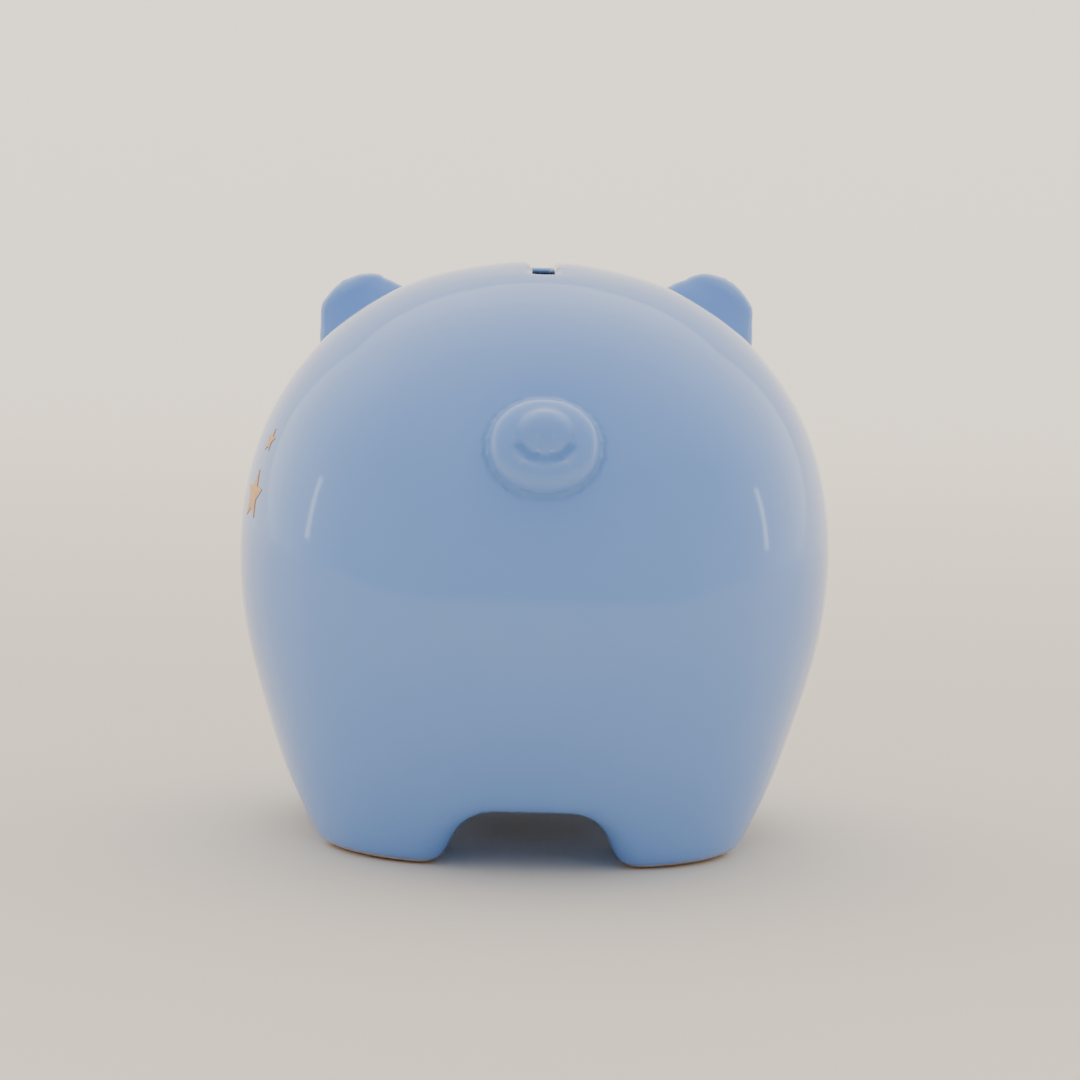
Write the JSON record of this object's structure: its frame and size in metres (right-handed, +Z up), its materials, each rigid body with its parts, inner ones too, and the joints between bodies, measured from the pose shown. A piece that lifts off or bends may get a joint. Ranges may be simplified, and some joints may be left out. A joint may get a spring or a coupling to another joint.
{
  "type": "piggy bank",
  "caption": "Round glazed pottery pig on stub legs, with a coin slot over the back, leaf ears, a curled button tail and a pull-out belly plug.",
  "frame": {"origin": "on the floor under the middle of the overall box, halfway from the snout to the tail", "axes": "+Z up, the snout looks to -Y, the pig's left flank is at +X"},
  "size_m": [0.13, 0.1522, 0.1256],
  "materials": {
    "glaze": "pale blue gloss glaze",
    "dark_glaze": "black gloss",
    "gold": "gold lustre film",
    "plug": "soft black, satin"
  },
  "bodies": {
    "bank": {"body_shell": "glaze", "left_ear": "glaze", "right_ear": "glaze", "tail": "glaze", "snout": "glaze", "left_eye": "dark_glaze", "right_eye": "dark_glaze", "gold_star_large": "gold", "gold_star_small": "gold"},
    "stopper": {"stopper": "plug"}
  },
  "joints": [
    {"name": "stopper_pull", "type": "slide", "parent": "bank", "child": "stopper", "axis": [0, 0, -1], "range_m": [0, 0.009]}
  ]
}
